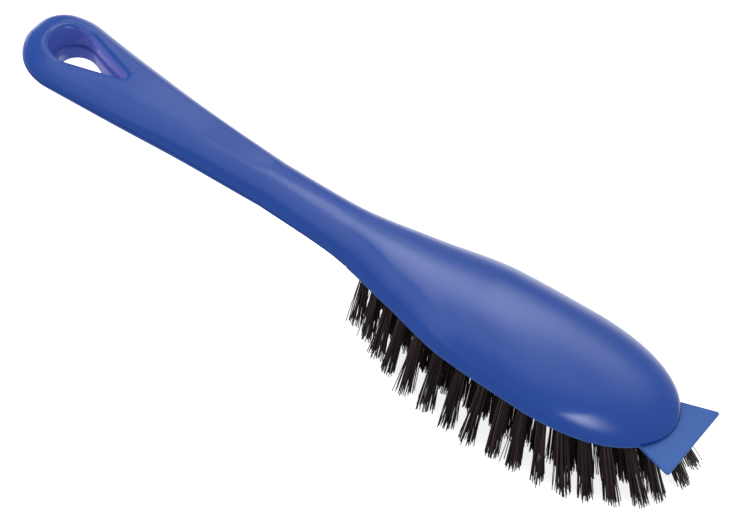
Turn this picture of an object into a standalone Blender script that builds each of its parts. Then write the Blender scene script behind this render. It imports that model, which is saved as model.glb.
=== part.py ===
"""Long-handled scrub brush, built as an assembly.

A hollow handle moulding runs from a teardrop hanging eye to a domed head. A second moulding
closes the underside of the handle. The bristle block closes the underside of the head and
carries a scraper lip past the tip. Each bristle tuft sits by its root plug in its own blind
hole in the block. Metres, +Z up, +X towards the scraper, bristles down on z = 0.
"""
import math

import bmesh
import bpy
from mathutils import Matrix, Vector

MM = 0.001

# Lengths along the brush
HANDLE_LENGTH = 150 * MM
HEAD_LENGTH = 131 * MM
SCRAPER_REACH = 9 * MM
NECK_SETBACK = 40 * MM
TIP_ROUND_LENGTH = 46 * MM
DOME_REACH = 50 * MM
SEAM_LOW_REACH = 35 * MM

# Widths, heights and depths of the body, heights from the seam between top and underside
EYE_WIDTH = 35.9 * MM
NECK_WIDTH = 18.4 * MM
HEAD_WIDTH = 54.2 * MM
EYE_CROWN = 8 * MM
NECK_CROWN = 11.5 * MM
DOME_CROWN = 15.3 * MM
BELLY_DEPTH = 6.6 * MM
RIM_DEPTH = 1.2 * MM
EYE_EDGE_RADIUS = 7 * MM
HANDLE_LIFT = 8 * MM

# Walls and fits
SHELL_WALL = 2.2 * MM
EYE_WALL = 1.8 * MM
GAP = 0.3 * MM
BLUNT_END = 0.3 * MM
OVERRUN = 2 * MM

# Hanging eye: a teardrop, wider in the top moulding than in the lower one
EYE_PLACE = 18 * MM
EYE_RADIUS = 8.5 * MM
EYE_TIP_PLACE = 41.6 * MM
EYE_TIP_RADIUS = 1.2 * MM
EYE_LIP_RADIUS = 2 * MM
EYE_LEDGE = 0.7 * MM
EYE_REAR_LEAN = 4.3 * MM

# Thumb facet along the top of the handle
FACET_SETBACK = 43 * MM
FACET_DROP = 0.9 * MM
FACET_RUNOUT = 9 * MM

# Bristle block and scraper lip
DECK_HEIGHT = 6 * MM
DECK_SKIN = 0.8 * MM
RIM_INSET = 0.3 * MM
RIM_CHAMFER = 0.4 * MM
SCRAPER_WIDTH = 37.2 * MM
SCRAPER_ROOT_WIDTH = 22.4 * MM
SCRAPER_ROOT_DEPTH = 12 * MM
SCRAPER_ROOT_THICKNESS = 1.8 * MM
SCRAPER_EDGE_THICKNESS = 0.9 * MM
SCRAPER_CORNER_RADIUS = 1 * MM
SCRAPER_STEP = 0.15 * MM

# Pegs that hold the mouldings together, in the bosses of the top moulding
PEG_RADIUS = 1.6 * MM
PEG_LENGTH = 3 * MM
BOSS_WALL = 1.4 * MM

# Bristle tufts
TUFT_LENGTH = 27.3 * MM
TUFT_HOLE_DEPTH = 5.5 * MM
TUFT_PLUG_RADIUS = 1.6 * MM
TUFT_TIP_RADIUS = 3 * MM
STRAND_RING_RADIUS = 0.95 * MM
STRAND_ROOT_RADIUS = 0.45 * MM
STRAND_TIP_RADIUS = 0.4 * MM
STRAND_SINK = 0.3 * MM
FLOOR_TRIM = 0.5 * MM
ROW_SIDE_INSET = 5 * MM
ROW_TIP_INSET = 9 * MM
ROW_REAR_INSET = 7.5 * MM
ROW_SPACING = 9.5 * MM
INNER_ROW_OFFSET = 4.6 * MM
REAR_TUFT_INSET = 16 * MM
CENTRE_REAR_INSET = 42 * MM
CENTRE_TIP_INSET = 31 * MM
OUTER_ROW_HALF_COUNT = 16
INNER_ROW_HALF_COUNT = 9
CENTRE_ROW_COUNT = 6
RING_STRANDS = 6

# Curve shapes: pairs of place share and value share, smoothly joined
HANDLE_TAPER_SHARES = ((0, 0), (0.29, 0.37), (0.67, 0.82), (1, 1))
HEAD_SPREAD_SHARES = ((0, 0), (0.24, 0.08), (0.48, 0.45), (0.72, 0.87), (1, 1))
HANDLE_CROWN_SHARES = ((0, 0), (0.13, 0.13), (0.4, 0.6), (0.7, 0.97), (1, 1))
HEAD_CROWN_SHARES = ((0, 0), (0.3, 0.08), (0.6, 0.45), (1, 1))
BELLY_FADE_SHARES = ((0, 1), (0.35, 0.97), (0.53, 0.85), (0.75, 0.48), (0.92, 0.08), (1, 0))
LEAN_TAN_SHARES = ((0, 0), (0.12, 0.02), (0.25, 0.08), (0.5, 0.1), (0.62, 0.14), (0.74, 0.3), (0.88, 0.41),
                   (1, 0.62))
SPLAY_TAN_SHARES = ((0, 0), (0.1, 0.03), (0.2, 0.22), (0.5, 0.26), (0.66, 0.2), (0.78, 0.12), (0.9, 0.03),
                    (1, 0.02))
OUTER_PITCH_SHARES = ((0, 0), (0.13, 0.107), (0.2, 0.172), (0.5, 0.53), (0.68, 0.7), (0.84, 0.85), (1, 1))
EVEN_PITCH_SHARES = ((0, 0), (1, 1))
HANDLE_PEG_SHARES = (0.22, 0.72)
HEAD_PEG_SHARES = (0.17, 0.42, 0.66)
STRAND_RAG_SHARES = (0, 0.035, 0.012, 0.05, 0.02, 0.042, 0.008)
SECTION_POWER_SHARE = 2.2
EYE_POWER_SHARE = 2.1
TIP_POWER_SHARE = 2.43
DOME_FALL_SHARES = (2.1, 0.65)

# How finely the curved surfaces are divided
SHELL_RINGS = 44
SHELL_SIDES = 18
SHELL_HOLLOW_RINGS = 30
UNDERSIDE_RINGS = 22
UNDERSIDE_HOLLOW_RINGS = 16
INSIDE_SIDES = 12
RIM_RINGS = 28
DECK_RINGS = 24
PEG_SIDES = 12
TUFT_SIDES = 6
STRAND_SIDES = 3
EYE_ROUND_STEPS = 15
EYE_FLANK_STEPS = 3
EYE_TIP_STEPS = 5
LIP_STEPS = 3
CORNER_STEPS = 3
PATH_STEPS = 240
SMOOTH_ANGLE = math.radians(35)

# Worked out from the sizes above
HEAD_START = HANDLE_LENGTH
SHELL_LENGTH = HANDLE_LENGTH + HEAD_LENGTH
OVERALL_LENGTH = SHELL_LENGTH + SCRAPER_REACH
NECK_PLACE = HANDLE_LENGTH - NECK_SETBACK
FACET_END = HANDLE_LENGTH - FACET_SETBACK
HEAD_WIDE_PLACE = SHELL_LENGTH - TIP_ROUND_LENGTH
DOME_PLACE = HEAD_START + DOME_REACH
SEAM_LOW_PLACE = HEAD_START + SEAM_LOW_REACH
RIM_HEIGHT = RIM_DEPTH + TUFT_LENGTH - FLOOR_TRIM
MERGE = 0.001 * MM


def blend(shares, t):
    """Value at t of the smooth, never overshooting curve through pairs of shares."""
    t = min(max(t, shares[0][0]), shares[-1][0])
    steps = [(b[0] - a[0], (b[1] - a[1]) / (b[0] - a[0])) for a, b in zip(shares, shares[1:])]
    slopes = [steps[0][1]]
    for (width_a, rise_a), (width_b, rise_b) in zip(steps, steps[1:]):
        if rise_a * rise_b <= 0:
            slopes.append(0)
        else:
            weight_a = 2 * width_b + width_a
            weight_b = width_b + 2 * width_a
            slopes.append((weight_a + weight_b) / (weight_a / rise_a + weight_b / rise_b))
    slopes.append(steps[-1][1])
    k = next(i for i, (width, _) in enumerate(steps) if t <= shares[i + 1][0])
    width = steps[k][0]
    u = (t - shares[k][0]) / width
    low, high = shares[k][1], shares[k + 1][1]
    return (low * (1 + 2 * u) * (1 - u) ** 2 + high * u * u * (3 - 2 * u)
            + width * slopes[k] * u * (1 - u) ** 2 - width * slopes[k + 1] * u * u * (1 - u))


def clamp(value):
    return min(max(value, 0), 1)


def seam_height(x):
    """Height of the seam, a shallow arc that is lowest under the head's middle."""
    return RIM_HEIGHT + HANDLE_LIFT * ((x - SEAM_LOW_PLACE) / SEAM_LOW_PLACE) ** 2


def half_width(x, inset=0, tip_inset=None):
    """Half the body's width at x, inside its outline by the inset."""
    tip_inset = inset if tip_inset is None else tip_inset
    eye = EYE_WIDTH / 2
    if x < NECK_PLACE:
        share = blend(HANDLE_TAPER_SHARES, (x - eye) / (NECK_PLACE - eye))
        base = eye + (NECK_WIDTH / 2 - eye) * share
    else:
        share = blend(HEAD_SPREAD_SHARES, (x - NECK_PLACE) / (HEAD_WIDE_PLACE - NECK_PLACE))
        base = (NECK_WIDTH + (HEAD_WIDTH - NECK_WIDTH) * share) / 2
    rear = 1 - clamp((x - inset) / (eye - inset))
    front = clamp((x - HEAD_WIDE_PLACE) / (TIP_ROUND_LENGTH - tip_inset))
    rear_round = (1 - rear ** EYE_POWER_SHARE) ** (1 / EYE_POWER_SHARE)
    front_round = (1 - front ** TIP_POWER_SHARE) ** 0.5
    return (base - inset) * rear_round * front_round


def eye_edge(x, inset):
    """Share of the full height near the rounded end of the handle."""
    return (1 - (1 - clamp((x - inset) / (EYE_EDGE_RADIUS - inset))) ** 2) ** 0.5


def crown(x, inset=0):
    """Height of the top above the seam along the middle."""
    eye = EYE_WIDTH / 2
    if x < NECK_PLACE:
        share = blend(HANDLE_CROWN_SHARES, (x - eye) / (NECK_PLACE - eye))
        height = EYE_CROWN + (NECK_CROWN - EYE_CROWN) * share
    else:
        share = blend(HEAD_CROWN_SHARES, (x - NECK_PLACE) / (DOME_PLACE - NECK_PLACE))
        height = NECK_CROWN + (DOME_CROWN - NECK_CROWN) * share
    forward = clamp((x - DOME_PLACE) / (SHELL_LENGTH - inset - DOME_PLACE))
    power, root = DOME_FALL_SHARES
    return (height - inset) * (1 - forward ** power) ** root * eye_edge(x, inset)


def belly(x, inset=0):
    """Depth of the underside below the seam along the middle."""
    depth = RIM_DEPTH + (BELLY_DEPTH - RIM_DEPTH) * blend(BELLY_FADE_SHARES, x / HEAD_START)
    return max(depth - inset, 0) * eye_edge(x, inset)


def facet_height(x):
    """Height of the thumb facet above the seam, where it cuts the crown."""
    back = max(FACET_END - x, 0)
    drop = FACET_DROP * (1 - math.exp(-back / FACET_RUNOUT))
    return crown(x) - drop * eye_edge(x, 0)


def section_share(across):
    """Height share of the rounded section at a share of its half width."""
    return (1 - clamp(abs(across)) ** SECTION_POWER_SHARE) ** (1 / SECTION_POWER_SHARE)


def top_height(x, y):
    """Height of the outer top surface at a point in plan."""
    rise = crown(x) * section_share(y / max(half_width(x), MERGE))
    return seam_height(x) + min(rise, facet_height(x))


def belly_height(x, y):
    """Height of the outer lower surface at a point in plan."""
    return seam_height(x) - belly(x) * section_share(y / max(half_width(x), MERGE))


def arch_points(x, width, height, count, ceiling=None):
    """Points from -Y over the section to +Y, height up or, if negative, down."""
    power = 2 / SECTION_POWER_SHARE
    points = []
    for k in range(count + 1):
        angle = math.pi * (1 - k / count)
        side = math.cos(angle)
        y = width * math.copysign(abs(side) ** power, side) if abs(side) > MERGE else 0
        z = height * max(math.sin(angle), 0) ** power
        if ceiling is not None:
            z = min(z, ceiling)
        points.append(Vector((x, y, seam_height(x) + z)))
    return points


def even_places(start, end, count):
    """Places that crowd towards both ends."""
    return [start + (end - start) * (1 - math.cos(math.pi * k / count)) / 2 for k in range(count + 1)]


def crowded_start(start, end, count):
    """Places that crowd towards the start only."""
    return [start + (end - start) * (1 - math.cos(math.pi * k / count / 2)) for k in range(count + 1)]


def crowded_end(start, end, count):
    """Places that crowd towards the end only."""
    return [start + end - x for x in reversed(crowded_start(start, end, count))]


def add_loft(bm, rings):
    """Skin equal rings of points into a closed body; a ring closed to a line needs no cap."""
    rows = [[bm.verts.new(point) for point in ring] for ring in rings]
    for low, high in zip(rows, rows[1:]):
        for k in range(len(low)):
            after = (k + 1) % len(low)
            bm.faces.new((low[k], low[after], high[after], high[k]))
    for ring, row in ((rings[0], rows[0]), (rings[-1], rows[-1])):
        if max(abs(point.y) for point in ring) > MERGE:
            bm.faces.new(row)
    bmesh.ops.remove_doubles(bm, verts=bm.verts[:], dist=MERGE)
    bmesh.ops.recalc_face_normals(bm, faces=bm.faces[:])


def add_rod(bm, start, end, radius, sides, end_radius=None):
    """A rod or cone between two points, turned so that no corner lies on its middle plane."""
    line = end - start
    turn = line.to_track_quat("Z", "Y").to_matrix().to_4x4()
    half_side = Matrix.Rotation(math.pi / sides, 4, "Z")
    place = Matrix.Translation((start + end) / 2) @ turn @ half_side
    bmesh.ops.create_cone(bm, cap_ends=True, segments=sides, radius1=radius,
                          radius2=radius if end_radius is None else end_radius,
                          depth=line.length, matrix=place)


def make_material(name, color, roughness):
    material = bpy.data.materials.new(name)
    material.use_nodes = True
    shader = material.node_tree.nodes["Principled BSDF"]
    shader.inputs["Base Color"].default_value = (*color, 1)
    shader.inputs["Roughness"].default_value = roughness
    shader.inputs["Metallic"].default_value = 0
    material.diffuse_color = (*color, 1)
    return material


def finish_object(name, bm, group, material=None):
    """Turn a bmesh into an object of the group, rounded surfaces shaded smooth."""
    mesh = bpy.data.meshes.new(name)
    bm.to_mesh(mesh)
    bm.free()
    mesh.shade_smooth()
    mesh.set_sharp_from_angle(angle=SMOOTH_ANGLE)
    thing = bpy.data.objects.new(name, mesh)
    group.objects.link(thing)
    if material:
        mesh.materials.append(material)
    return thing


def finish_cutter(name, bm, group):
    thing = finish_object(name, bm, group)
    thing.hide_render = True
    thing.display_type = "WIRE"
    return thing


def combine(thing, other, operation):
    """Join to, or cut from, a piece, and keep the step as a modifier."""
    step = thing.modifiers.new(other.name, "BOOLEAN")
    step.operation = operation
    step.object = other
    step.solver = "EXACT"


def teardrop(offset, shift=0, tip_shift=0):
    """Plan of the hanging eye as (x, y), grown by the offset, its two ends moved forward."""
    radius = EYE_RADIUS + offset
    tip_radius = EYE_TIP_RADIUS + offset
    centre = EYE_PLACE + shift
    tip_centre = EYE_TIP_PLACE - EYE_TIP_RADIUS + tip_shift
    side = math.pi / 2 - math.asin((radius - tip_radius) / (tip_centre - centre))
    points = []
    for k in range(EYE_ROUND_STEPS + 1):
        angle = side + (2 * math.pi - 2 * side) * k / EYE_ROUND_STEPS
        points.append((centre + radius * math.cos(angle), radius * math.sin(angle)))
    tip = []
    for k in range(EYE_TIP_STEPS + 1):
        angle = -side + 2 * side * k / EYE_TIP_STEPS
        tip.append((tip_centre + tip_radius * math.cos(angle), tip_radius * math.sin(angle)))
    shares = [k / (EYE_FLANK_STEPS + 1) for k in range(1, EYE_FLANK_STEPS + 1)]
    lower = [mix(points[-1], tip[0], share) for share in shares]
    upper = [mix(tip[-1], points[0], share) for share in shares]
    return points + lower + tip + upper


def mix(a, b, share):
    return tuple(p + (q - p) * share for p, q in zip(a, b))


def lip_shares():
    """Offset and depth shares of the eye's rounded lip, from its surface to its wall."""
    angles = [math.pi / 2 * k / LIP_STEPS for k in range(LIP_STEPS + 1)]
    return [(1 - math.sin(angle), 1 - math.cos(angle)) for angle in angles]


def upper_eye_rings():
    """The eye's wall through the top moulding, flared into its lip."""
    lip = EYE_LIP_RADIUS
    rings = [[Vector((x, y, top_height(x, y) + OVERRUN)) for x, y in teardrop(lip)]]
    for wide, deep in lip_shares():
        plan = teardrop(lip * wide)
        rings.append([Vector((x, y, top_height(x, y) - lip * deep)) for x, y in plan])
    rings.append([Vector((x, y, seam_height(x) - OVERRUN)) for x, y in teardrop(0)])
    return rings


def lower_eye_rings():
    """The eye's wall through the lower moulding, a ledge smaller and leaning forward."""
    lip = EYE_LIP_RADIUS
    lean = EYE_REAR_LEAN
    rings = []
    plan = teardrop(lip - EYE_LEDGE, lean, EYE_LEDGE)
    rings.append([Vector((x, y, belly_height(x, y) - OVERRUN)) for x, y in plan])
    for wide, deep in lip_shares():
        plan = teardrop(lip * wide - EYE_LEDGE, lean, EYE_LEDGE)
        rings.append([Vector((x, y, belly_height(x, y) + lip * deep)) for x, y in plan])
    plan = teardrop(-EYE_LEDGE, EYE_LEDGE, -EYE_LEDGE)
    rings.append([Vector((x, y, seam_height(x))) for x, y in plan])
    rings.append([Vector((x, y, seam_height(x) + OVERRUN)) for x, y in plan])
    return rings


def eye_pillar(name, group, lean):
    """The solid round the eye's wall, left standing in the hollow handle."""
    bm = bmesh.new()
    top = teardrop(EYE_WALL)
    low = teardrop(EYE_WALL, lean)
    deep = BELLY_DEPTH + OVERRUN
    rings = [[Vector((x, y, seam_height(x) + DOME_CROWN)) for x, y in top],
             [Vector((x, y, seam_height(x))) for x, y in top],
             [Vector((x, y, seam_height(x) - deep)) for x, y in low]]
    add_loft(bm, rings)
    return finish_cutter(name, bm, group)


def handle_peg_places():
    return [EYE_TIP_PLACE + (HEAD_START - EYE_TIP_PLACE) * share for share in HANDLE_PEG_SHARES]


def head_peg_places():
    return [HEAD_START + HEAD_LENGTH * share for share in HEAD_PEG_SHARES]


def peg_seats():
    """Place and height of each boss's mouth in the top moulding."""
    seats = [(x, seam_height(x) + GAP) for x in handle_peg_places()]
    return seats + [(x, seam_height(x) + DECK_HEIGHT + GAP) for x in head_peg_places()]


def make_handle_shell(group, cutters, material):
    """The top moulding: handle, neck and domed head in one hollow shell."""
    bm = bmesh.new()
    rings = []
    for x in even_places(0, SHELL_LENGTH, SHELL_RINGS):
        rings.append(arch_points(x, half_width(x), crown(x), SHELL_SIDES, facet_height(x)))
    add_loft(bm, rings)
    shell = finish_object("handle_shell", bm, group, material)
    hollow = make_shell_hollow(cutters)
    combine(hollow, eye_pillar("shell_eye_pillar", cutters, 0), "DIFFERENCE")
    combine(hollow, make_bosses(cutters), "DIFFERENCE")
    combine(shell, hollow, "DIFFERENCE")
    eye = bmesh.new()
    add_loft(eye, upper_eye_rings())
    combine(shell, finish_cutter("shell_eye", eye, cutters), "DIFFERENCE")
    combine(shell, make_boss_bores(cutters), "DIFFERENCE")


def make_shell_hollow(cutters):
    bm = bmesh.new()
    rings = []
    inset = SHELL_WALL + BLUNT_END
    for x in even_places(inset, SHELL_LENGTH - inset, SHELL_HOLLOW_RINGS):
        width = half_width(x, SHELL_WALL)
        arch = arch_points(x, width, crown(x, SHELL_WALL), INSIDE_SIDES)
        floor = seam_height(x) - OVERRUN
        rings.append([Vector((x, -width, floor))] + arch + [Vector((x, width, floor))])
    add_loft(bm, rings)
    return finish_cutter("shell_hollow", bm, cutters)


def make_bosses(cutters):
    """Solid posts that stay in the hollow, from each boss's mouth up into the wall."""
    bm = bmesh.new()
    radius = PEG_RADIUS + GAP + BOSS_WALL
    for x, mouth in peg_seats():
        top = seam_height(x) + crown(x)
        add_rod(bm, Vector((x, 0, mouth)), Vector((x, 0, top)), radius, PEG_SIDES)
    return finish_cutter("shell_bosses", bm, cutters)


def make_boss_bores(cutters):
    bm = bmesh.new()
    for x, mouth in peg_seats():
        low = Vector((x, 0, mouth - OVERRUN))
        high = Vector((x, 0, mouth + PEG_LENGTH + GAP))
        add_rod(bm, low, high, PEG_RADIUS + GAP, PEG_SIDES)
    return finish_cutter("shell_boss_bores", bm, cutters)


def make_handle_underside(group, cutters, material):
    """The lower moulding, which closes the handle from the eye to the head."""
    bm = bmesh.new()
    rings = []
    for x in crowded_start(0, HEAD_START, UNDERSIDE_RINGS):
        arch = arch_points(x, half_width(x), -max(belly(x) - GAP, 0), INSIDE_SIDES)
        rings.append([point - Vector((0, 0, GAP)) for point in arch])
    add_loft(bm, rings)
    underside = finish_object("handle_underside", bm, group, material)
    hollow = make_underside_hollow(cutters)
    combine(hollow, eye_pillar("underside_eye_pillar", cutters, EYE_REAR_LEAN), "DIFFERENCE")
    posts = bmesh.new()
    pegs = bmesh.new()
    for x in handle_peg_places():
        floor = Vector((x, 0, seam_height(x) - belly(x) + SHELL_WALL / 2))
        mouth = Vector((x, 0, seam_height(x) - GAP))
        tip = Vector((x, 0, seam_height(x) + PEG_LENGTH))
        above = mouth + Vector((0, 0, OVERRUN * 2))
        add_rod(posts, floor, above, PEG_RADIUS + BOSS_WALL, PEG_SIDES)
        add_rod(pegs, floor, tip, PEG_RADIUS, PEG_SIDES)
    combine(hollow, finish_cutter("underside_posts", posts, cutters), "DIFFERENCE")
    combine(underside, hollow, "DIFFERENCE")
    combine(underside, finish_cutter("underside_pegs", pegs, cutters), "UNION")
    eye = bmesh.new()
    add_loft(eye, lower_eye_rings())
    combine(underside, finish_cutter("underside_eye", eye, cutters), "DIFFERENCE")


def make_underside_hollow(cutters):
    bm = bmesh.new()
    rings = []
    start = SHELL_WALL + BLUNT_END
    for x in crowded_start(start, HEAD_START - SHELL_WALL, UNDERSIDE_HOLLOW_RINGS):
        width = half_width(x, SHELL_WALL)
        arch = arch_points(x, width, -belly(x, SHELL_WALL), INSIDE_SIDES)
        ceiling = seam_height(x) + OVERRUN
        rings.append([Vector((x, -width, ceiling))] + arch + [Vector((x, width, ceiling))])
    add_loft(bm, rings)
    return finish_cutter("underside_hollow", bm, cutters)


def rim_ring(x):
    """Section of the block's rim plate, which shows as a strip under the shell."""
    width = half_width(x, RIM_INSET)
    chamfer = min(RIM_CHAMFER, width / 2)
    top = seam_height(x) - GAP
    low = seam_height(x) - RIM_DEPTH
    half = [(width, top), (width, low + RIM_CHAMFER), (width - chamfer, low)]
    return [Vector((x, y, z)) for y, z in half + [(-y, z) for y, z in reversed(half)]]


def deck_inset():
    return SHELL_WALL + GAP


def deck_top(x, y):
    """Height of the deck's top above the seam at a point in plan."""
    width = max(half_width(x, deck_inset()), MERGE)
    return min(crown(x, deck_inset()) * section_share(y / width), DECK_HEIGHT)


def make_deck(cutters):
    """The thick part of the block, which fills the shell's mouth and holds the tufts."""
    bm = bmesh.new()
    rings = []
    inset = deck_inset()
    for x in crowded_end(HEAD_START + GAP, SHELL_LENGTH - inset - BLUNT_END, DECK_RINGS):
        width = half_width(x, inset)
        arch = arch_points(x, width, crown(x, inset), INSIDE_SIDES, DECK_HEIGHT)
        floor = seam_height(x) - RIM_DEPTH / 2
        rings.append([Vector((x, -width, floor))] + arch + [Vector((x, width, floor))])
    add_loft(bm, rings)
    return finish_cutter("block_deck", bm, cutters)


def scraper_plan():
    """Plan of the scraper lip: straight flanks and rounded front corners."""
    root = SHELL_LENGTH - SCRAPER_ROOT_DEPTH
    front = OVERALL_LENGTH
    flank = math.atan2(SCRAPER_WIDTH / 2 - SCRAPER_ROOT_WIDTH / 2, front - root)
    radius = SCRAPER_CORNER_RADIUS
    reach = radius / math.tan((math.pi / 2 - flank) / 2)
    centre = (front - radius, SCRAPER_WIDTH / 2 - reach)
    half = [(root, SCRAPER_ROOT_WIDTH / 2)]
    for k in range(CORNER_STEPS + 1):
        angle = (math.pi / 2 + flank) * (1 - k / CORNER_STEPS)
        half.append((centre[0] + radius * math.cos(angle), centre[1] + radius * math.sin(angle)))
    return half + [(x, -y) for x, y in reversed(half)]


def scraper_top(x):
    """Height of the scraper's flat top, parallel to the seam at the tip."""
    slope = 2 * HANDLE_LIFT * (SHELL_LENGTH - SEAM_LOW_PLACE) / SEAM_LOW_PLACE ** 2
    return seam_height(SHELL_LENGTH) - GAP - SCRAPER_STEP + slope * (x - SHELL_LENGTH)


def scraper_thickness(x):
    share = (OVERALL_LENGTH - x) / (SCRAPER_REACH + SCRAPER_ROOT_DEPTH)
    return SCRAPER_EDGE_THICKNESS + (SCRAPER_ROOT_THICKNESS - SCRAPER_EDGE_THICKNESS) * share


def make_scraper_lip(cutters):
    bm = bmesh.new()
    plan = scraper_plan()
    rings = [[Vector((x, y, scraper_top(x))) for x, y in plan],
             [Vector((x, y, scraper_top(x) - scraper_thickness(x))) for x, y in plan]]
    add_loft(bm, rings)
    return finish_cutter("block_scraper_lip", bm, cutters)


def make_bristle_block(group, cutters, material, tufts):
    """The block with its rim plate, deck, scraper lip, pegs and a blind hole for each tuft."""
    bm = bmesh.new()
    rim_places = crowded_end(HEAD_START + GAP, SHELL_LENGTH - RIM_INSET, RIM_RINGS)
    add_loft(bm, [rim_ring(x) for x in rim_places])
    block = finish_object("bristle_block", bm, group, material)
    combine(block, make_deck(cutters), "UNION")
    combine(block, make_scraper_lip(cutters), "UNION")
    pegs = bmesh.new()
    for x in head_peg_places():
        low = Vector((x, 0, seam_height(x) + DECK_HEIGHT - OVERRUN / 2))
        high = Vector((x, 0, seam_height(x) + DECK_HEIGHT + PEG_LENGTH))
        add_rod(pegs, low, high, PEG_RADIUS, PEG_SIDES)
    combine(block, finish_cutter("block_pegs", pegs, cutters), "UNION")
    holes = bmesh.new()
    for root, direction, _ in tufts:
        top = root - direction * hole_depth(root, direction)
        add_rod(holes, top, root + direction * OVERRUN, TUFT_PLUG_RADIUS + GAP, TUFT_SIDES)
    combine(block, finish_cutter("block_tuft_holes", holes, cutters), "DIFFERENCE")


def hole_depth(root, direction):
    """Depth of a tuft's blind hole, less where the deck over it is thin."""
    back = root - direction * TUFT_HOLE_DEPTH
    cover = min(deck_top(back.x, back.y), deck_top(root.x, root.y)) + RIM_DEPTH - DECK_SKIN
    tilt = (TUFT_PLUG_RADIUS + GAP) * (1 - direction.z ** 2) ** 0.5
    return min(TUFT_HOLE_DEPTH, max((cover - tilt) / -direction.z, RIM_DEPTH))


def row_path(inset, tip_inset, least_offset):
    """One side of a tuft row in plan, from its rear end round to the middle of the tip.

    The rear end is where the row is far enough from the middle.
    """
    start = HEAD_START + ROW_REAR_INSET
    points = []
    for x in crowded_end(start, SHELL_LENGTH - tip_inset, PATH_STEPS):
        offset = half_width(x, inset, tip_inset)
        if points or offset >= least_offset:
            points.append(Vector((x, -offset)))
    return points


def spaced(points, count, pitch_shares):
    """Places along a path by the shares of its length; the last stands half a pitch off its end."""
    lengths = [0]
    for a, b in zip(points, points[1:]):
        lengths.append(lengths[-1] + (b - a).length)
    places = []
    for k in range(count):
        target = lengths[-1] * blend(pitch_shares, k / (count - 1 / 2))
        i = max(j for j in range(len(points) - 1) if lengths[j] <= target)
        share = (target - lengths[i]) / (lengths[i + 1] - lengths[i])
        places.append(points[i].lerp(points[i + 1], share))
    return places


def tuft_direction(x, y):
    """Unit vector along a tuft: it leans forward and fans out from the middle."""
    along = (x - HEAD_START) / HEAD_LENGTH
    lean = blend(LEAN_TAN_SHARES, along)
    splay = blend(SPLAY_TAN_SHARES, along) * y / half_width(x, ROW_SIDE_INSET, ROW_SIDE_INSET)
    return Vector((lean, splay, -1)).normalized()


def tuft_places():
    """Root, direction and side of every tuft: two curved rows and a middle row."""
    outer = row_path(ROW_SIDE_INSET, ROW_TIP_INSET, 0)
    inner_inset = ROW_SIDE_INSET + ROW_SPACING
    inner = row_path(inner_inset, ROW_TIP_INSET + ROW_SPACING, INNER_ROW_OFFSET)
    rows = (("outer", outer, OUTER_ROW_HALF_COUNT, OUTER_PITCH_SHARES),
            ("inner", inner, INNER_ROW_HALF_COUNT, EVEN_PITCH_SHARES))
    plan = []
    for row, path, count, pitch_shares in rows:
        for place in spaced(path, count, pitch_shares):
            plan.append((row, place.x, place.y, -1))
            plan.append((row, place.x, -place.y, 1))
    plan.append(("rear", HEAD_START + REAR_TUFT_INSET, 0, 1))
    start = HEAD_START + CENTRE_REAR_INSET
    pitch = (SHELL_LENGTH - CENTRE_TIP_INSET - start) / (CENTRE_ROW_COUNT - 1)
    for k in range(CENTRE_ROW_COUNT):
        plan.append(("centre", start + pitch * k, 0, 1))
    tufts = []
    for row, x, y, side in plan:
        root = Vector((x, y, seam_height(x) - RIM_DEPTH))
        tufts.append((row, root, tuft_direction(x, y), side))
    return tufts


def strand_ends(index, side):
    """Root and tip offsets of a tuft's strands, the middle one first, with ragged lengths."""
    rag = STRAND_RAG_SHARES
    strands = [(0, 0, 0, 0, 1)]
    for k in range(RING_STRANDS):
        angle = 2 * math.pi * (k + index / (RING_STRANDS + 1)) / RING_STRANDS
        across, along = math.cos(angle) * side, math.sin(angle)
        shorter = 1 - rag[(k + 1 + index) % len(rag)]
        strands.append((along * STRAND_RING_RADIUS, across * STRAND_RING_RADIUS,
                        along * TUFT_TIP_RADIUS, across * TUFT_TIP_RADIUS, shorter))
    return strands


def make_tuft(name, root, direction, ends, group, cutters, floor, material):
    """One tuft: its root plug in the block and its strands, which spread to their tips."""
    bm = bmesh.new()
    forward = Vector((1, 0, 0))
    across = direction.cross(forward).normalized()
    along = across.cross(direction)
    depth = hole_depth(root, direction) - GAP
    add_rod(bm, root - direction * depth, root, TUFT_PLUG_RADIUS, TUFT_SIDES)
    tuft = finish_object(name, bm, group, material)
    strands = bmesh.new()
    for root_x, root_y, tip_x, tip_y, share in ends:
        low = root + along * root_x - across * root_y - direction * STRAND_SINK
        tip = root + along * tip_x - across * tip_y + direction * TUFT_LENGTH * share
        add_rod(strands, low, tip, STRAND_ROOT_RADIUS, STRAND_SIDES, STRAND_TIP_RADIUS)
    combine(tuft, finish_cutter(name + "_strands", strands, cutters), "UNION")
    combine(tuft, floor, "DIFFERENCE")


def make_floor_trim(cutters):
    """A slab under z = 0 that trims the longest strands flat."""
    bm = bmesh.new()
    front = OVERALL_LENGTH + OVERRUN
    side = HEAD_WIDTH / 2 + TUFT_LENGTH
    corners = ((0, -side), (front, -side), (front, side), (0, side))
    deep = FLOOR_TRIM + OVERRUN
    add_loft(bm, [[Vector((x, y, z)) for x, y in corners] for z in (-deep, 0)])
    return finish_cutter("floor_trim", bm, cutters)


def make_group(name):
    group = bpy.data.collections.new(name)
    bpy.context.scene.collection.children.link(group)
    return group


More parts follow.
